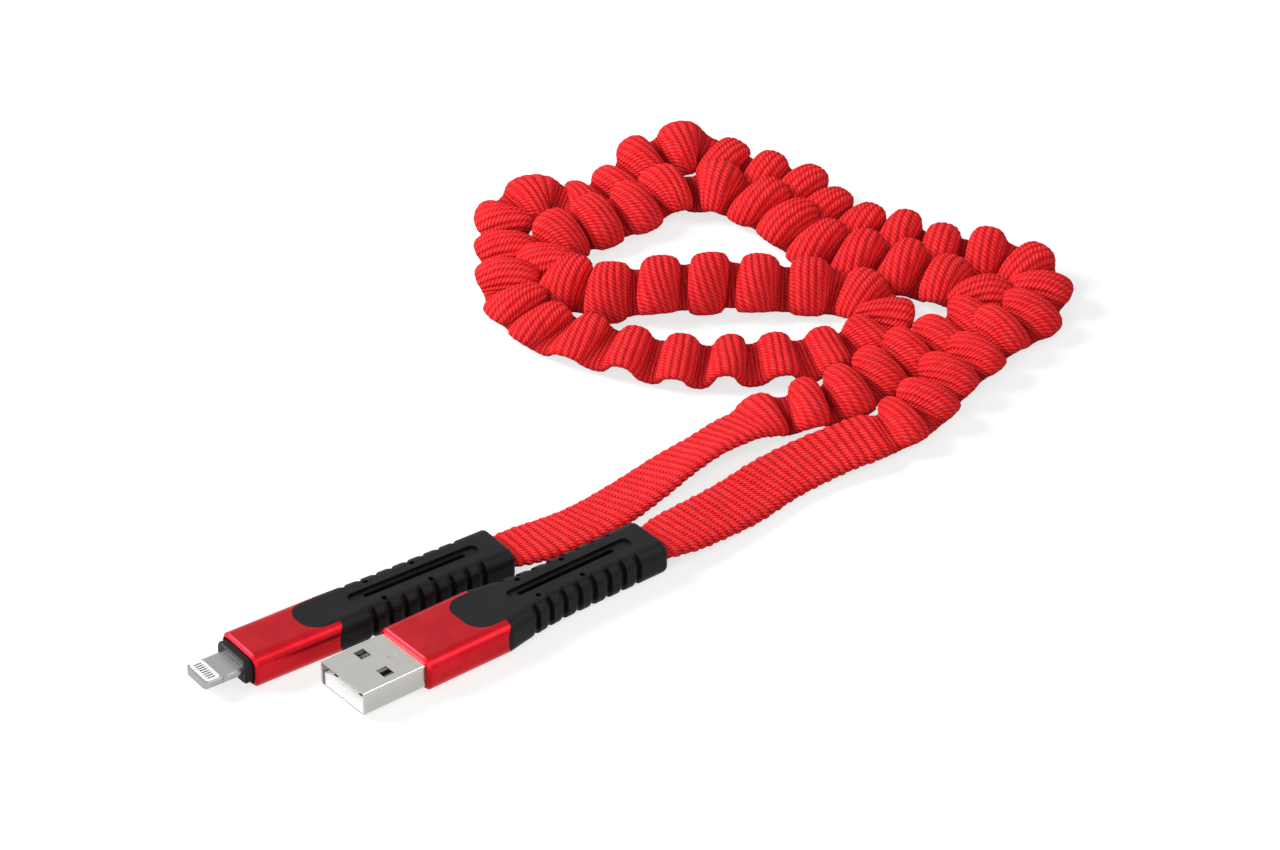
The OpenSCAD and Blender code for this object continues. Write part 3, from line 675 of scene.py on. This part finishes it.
def weave_group():
    """Corded weave: ribs across the strap, each of slanting yarns, with gaps between them in the grooves,
    which the material fills with painted shade. The map counts ribs along U and millimetres round the strap
    along V."""
    waver_scale = 420.0
    waver_width = 0.36
    fibre_scale = 5200.0
    tree, given, result = new_group(
        "corded_weave",
        {"Weave Map": VECTOR, "Place": VECTOR, "Yarn Width": VALUE, "Slant": VALUE},
        ["Ridge", "Yarn", "Gap", "Fibre", "Tone", "Rib Tone"])
    straight_u, v, _ = split_axes(tree, given["Weave Map"])
    wavering = noise(tree, given["Place"], waver_scale, PLAIN)
    u = maths(tree, "ADD", straight_u, maths(tree, "MULTIPLY_ADD", wavering, waver_width, -waver_width / 2))
    rib = maths(tree, "ROUND", u)
    row = maths(tree, "DIVIDE", v, given["Yarn Width"])
    ridge = maths(tree, "ABSOLUTE", maths(tree, "COSINE", times(tree, u, math.pi)))

    # Slanted rows of yarn on the ribs, and slanted gaps centred on the grooves
    from_ridge = maths(tree, "SUBTRACT", u, rib)
    from_groove = maths(tree, "SUBTRACT", maths(tree, "FRACT", u), 0.5)
    on_rib = maths(tree, "SUBTRACT", row, times(tree, from_ridge, given["Slant"]))
    in_groove = maths(tree, "SUBTRACT", row, times(tree, from_groove, given["Slant"]))
    yarn = maths(tree, "ABSOLUTE", maths(tree, "COSINE", times(tree, on_rib, math.pi)))
    open_part = ramp(tree, maths(tree, "COSINE", times(tree, in_groove, FULL_TURN)), -0.1, 0.75)
    groove = ramp(tree, ridge, 0.72, 0.35)

    yarn_place = join_axes(tree, rib, maths(tree, "ROUND", on_rib))
    tree.links.new(ridge, result["Ridge"])
    tree.links.new(yarn, result["Yarn"])
    tree.links.new(times(tree, groove, open_part), result["Gap"])
    tree.links.new(noise(tree, given["Place"], fibre_scale, FINE), result["Fibre"])
    tree.links.new(white_noise(tree, "2D", "Vector", yarn_place), result["Tone"])
    tree.links.new(white_noise(tree, "1D", "W", rib), result["Rib Tone"])
    return tree


def red_weave():
    """Woven yarn, uneven from yarn to yarn and from rib to rib, with painted shade between the yarns, in the
    grooves and down in the folds, and a painted highlight where a yarn crosses a rib's top."""
    deep_yarn = (0.94, 0.015, 0.019)
    bright_yarn = (1.0, 0.032, 0.036)
    fibre_red = (0.74, 0.010, 0.014)
    uneven_red = (0.62, 0.008, 0.012)
    seam_shade_red = (0.52, 0.005, 0.008)
    groove_shade_red = (0.46, 0.004, 0.007)
    fold_shade_red = (0.46, 0.003, 0.006)
    highlight_red = (1.0, 0.10, 0.11)
    gap_shade_red = (0.28, 0.002, 0.004)
    yarn_height = 0.75
    fibre_height = 0.25
    gap_depth = 0.6
    relief = 0.00034
    material, tree, shader = new_material("red_weave", shine=0.12)
    weave_map = tree.nodes.new("ShaderNodeUVMap")
    weave_map.uv_map = "weave"
    gather = attribute(tree, "gather")
    fold = attribute(tree, "fold")
    weave = use_group(tree, weave_group(), Weave_Map=weave_map.outputs["UV"], Place=object_place(tree),
                      Yarn_Width=0.72, Slant=1.5)
    ridge, yarn, gap, fibre = weave["Ridge"], weave["Yarn"], weave["Gap"], weave["Fibre"]
    yarn_top = times(tree, yarn, ridge)

    def strength(flat, gathered):
        """Strength of an effect where the strap is flat and where it is gathered."""
        return ramp(tree, gather, 0.0, 1.0, flat, gathered)

    layers = [
        (noise_ramp(tree, fibre, 0.0, 0.16), fibre_red),
        (times(tree, ramp(tree, weave["Rib Tone"], 0.1, 0.9), strength(0.05, 0.14)), uneven_red),
        # Painted shade between the yarns
        (times(tree, ramp(tree, yarn, 0.55, 0.05), strength(0.5, 0.22)), seam_shade_red),
        # Painted shade in the grooves
        (times(tree, ramp(tree, ridge, 0.62, 0.0), strength(0.12, 0.33)), groove_shade_red),
        # Painted shade down in the folds
        (ramp(tree, fold, 0.4, 1.0, 0.0, 0.5), fold_shade_red),
        # Painted highlight where a yarn crosses a rib's top
        (ramp(tree, times(tree, yarn_top, fibre), 0.3, 0.62, 0.0, 0.75), highlight_red),
        # Painted shade in the gaps between the yarns in the grooves
        (times(tree, gap, strength(0.95, 0.30)), gap_shade_red)]
    colour = mix_colour(tree, weave["Tone"], deep_yarn, bright_yarn)
    for share, layer in layers:
        colour = mix_colour(tree, share, colour, layer)
    tree.links.new(colour, shader.inputs["Base Color"])
    tree.links.new(noise_ramp(tree, fibre, 0.6, 0.8), shader.inputs["Roughness"])
    height = maths(tree, "ADD", times(tree, yarn_top, yarn_height), times(tree, fibre, fibre_height))
    bump(tree, shader, maths(tree, "SUBTRACT", height, times(tree, gap, gap_depth)), relief)
    return material


def red_aluminium(name, grain, band, turned):
    """Anodised and finely blasted under a thin clear coat, with a duller band where the front rim is cut."""
    deep_red = (0.56, 0.008, 0.016)
    bright_red = (0.64, 0.012, 0.021)
    rim_red = (0.55, 0.010, 0.018)
    coat = 0.1
    coat_roughness = 0.3
    rim_dullness = 0.16
    relief = 0.000007
    material, tree, shader = new_material(name, metallic=1.0)
    shader.inputs["Coat Roughness"].default_value = coat_roughness
    place = object_place(tree, turned)
    skin = use_group(tree, grain, Place=place, Grain_Scale=9000.0, Cloud_Scale=220.0)
    rim = use_group(tree, band, Place=place, Start=(RIM_PLACE - RIM_BEFORE) * MM,
                    End=(RIM_PLACE + RIM_BEHIND) * MM, Softness=RIM_SOFTNESS * MM)["Band"]
    red = mix_colour(tree, ramp(tree, skin["Cloud"], 0.35, 0.65), deep_red, bright_red)
    roughness = noise_ramp(tree, skin["Grain"], 0.27, 0.36)
    tree.links.new(mix_colour(tree, rim, red, rim_red), shader.inputs["Base Color"])
    tree.links.new(maths(tree, "MULTIPLY_ADD", rim, -coat, coat), shader.inputs["Coat Weight"])
    tree.links.new(maths(tree, "MULTIPLY_ADD", rim, rim_dullness, roughness), shader.inputs["Roughness"])
    bump(tree, shader, skin["Grain"], relief)
    return material


def black_rubber(grain):
    """Moulded rubber with a fine matt grain."""
    deep_black = (0.0024, 0.0021, 0.0032)
    pale_black = (0.0048, 0.0042, 0.0060)
    relief = 0.00004
    material, tree, shader = new_material("black_rubber", shine=0.16)
    skin = use_group(tree, grain, Place=object_place(tree), Grain_Scale=4200.0, Cloud_Scale=120.0)
    cloud = noise_ramp(tree, skin["Cloud"])
    tree.links.new(mix_colour(tree, cloud, deep_black, pale_black), shader.inputs["Base Color"])
    tree.links.new(noise_ramp(tree, skin["Grain"], 0.38, 0.52), shader.inputs["Roughness"])
    bump(tree, shader, skin["Grain"], relief)
    return material


def sheet_metal(name, colour, dull, roughness, lines, turned):
    """Plated or polished sheet with faint lines along it."""
    uneven = 0.05
    relief = 0.000003
    material, tree, shader = new_material(name, metallic=1.0)
    mark = use_group(tree, lines, Place=object_place(tree, turned), Line_Scale=5000.0, Stretch=0.03)["Lines"]
    tree.links.new(mix_colour(tree, noise_ramp(tree, mark), dull, colour), shader.inputs["Base Color"])
    tree.links.new(noise_ramp(tree, mark, roughness + uneven, roughness), shader.inputs["Roughness"])
    bump(tree, shader, mark, relief)
    return material


def plain_finish(name, colour, dark, roughness, shine, grain):
    """Moulded plastic, or another plain finish, with faint grain and cloudiness."""
    uneven = 0.05
    relief = 0.00001
    material, tree, shader = new_material(name, shine=shine)
    skin = use_group(tree, grain, Place=object_place(tree), Grain_Scale=5000.0, Cloud_Scale=400.0)
    cloud = noise_ramp(tree, skin["Cloud"])
    rough = noise_ramp(tree, skin["Grain"], roughness - uneven, roughness + uneven)
    tree.links.new(mix_colour(tree, cloud, dark, colour), shader.inputs["Base Color"])
    tree.links.new(rough, shader.inputs["Roughness"])
    bump(tree, shader, skin["Grain"], relief)
    return material


def finish_nodes():
    """Give every CAD node its own finish, found by a part of its name."""
    grain, lines, band = grain_group(), drawn_group(), band_group()
    finishes = [
        ("usb_housing", red_aluminium("red_aluminium_large", grain, band, turned=False)),
        ("slim_housing", red_aluminium("red_aluminium_slim", grain, band, turned=True)),
        ("boot", black_rubber(grain))]
    for part, name, colour, dull, roughness, turned in SHEET_METALS:
        finishes.append((part, sheet_metal(name, colour, dull, roughness, lines, turned)))
    for part, name, colour, dark, roughness, shine in PLAIN_FINISHES:
        finishes.append((part, plain_finish(name, colour, dark, roughness, shine, grain)))
    for name, node in nodes.items():
        # The plain strap has no finish here, because the woven mesh stands in for it
        for part, material in finishes:
            if part in name:
                node.data.materials.clear()
                node.data.materials.append(material)
                break


def add_floor():
    """Pale floor that glows to the camera and to mirrors, and keeps the object's shadow."""
    bpy.ops.mesh.primitive_plane_add(size=FLOOR_SIZE, location=(0, 0, 0))
    floor = bpy.context.object
    floor.name = "floor"
    material = bpy.data.materials.new("floor_white")
    material.use_nodes = True
    tree = material.node_tree
    tree.nodes.clear()
    out = tree.nodes.new("ShaderNodeOutputMaterial")
    both = tree.nodes.new("ShaderNodeAddShader")
    diffuse = tree.nodes.new("ShaderNodeBsdfDiffuse")
    glow = tree.nodes.new("ShaderNodeEmission")
    rays = tree.nodes.new("ShaderNodeLightPath").outputs
    diffuse.inputs["Color"].default_value = (FLOOR_GREY, FLOOR_GREY, FLOOR_GREY, 1)
    seen = maths(tree, "MULTIPLY_ADD", rays["Is Glossy Ray"], MIRRORED_GLOW, rays["Is Camera Ray"])
    tree.links.new(times(tree, seen, FLOOR_GLOW), glow.inputs["Strength"])
    tree.links.new(diffuse.outputs[0], both.inputs[0])
    tree.links.new(glow.outputs[0], both.inputs[1])
    tree.links.new(both.outputs[0], out.inputs["Surface"])
    floor.data.materials.append(material)


def add_room():
    """Even white room that polished metal mirrors."""
    world = bpy.data.worlds.new("studio")
    bpy.context.scene.world = world
    world.use_nodes = True
    tree = world.node_tree
    background = tree.nodes["Background"]
    background.inputs["Color"].default_value = (1, 1, 1, 1)
    rays = tree.nodes.new("ShaderNodeLightPath").outputs
    seen = maths(tree, "ADD", rays["Is Camera Ray"], rays["Is Glossy Ray"])
    strength = maths(tree, "MULTIPLY_ADD", seen, ROOM_SEEN, ROOM_LIGHT)
    tree.links.new(strength, background.inputs["Strength"])


def add_lamps():
    """A soft key from the left, a weaker lamp from the front, and a faint one from behind on the right, which
    draws a bright line along the housings' upper edges."""
    for name, (place, width, watts) in LAMPS.items():
        data = bpy.data.lights.new(name, "AREA")
        data.shape = "SQUARE"
        data.size = width
        data.energy = watts
        lamp = bpy.data.objects.new(name, data)
        bpy.context.scene.collection.objects.link(lamp)
        lamp.location = place
        lamp.rotation_euler = (LAMP_TARGET - Vector(place)).to_track_quat("-Z", "Y").to_euler()


add_camera()
add_strap()
finish_nodes()
add_floor()
add_room()
add_lamps()
bpy.context.scene.view_settings.view_transform = "Standard"
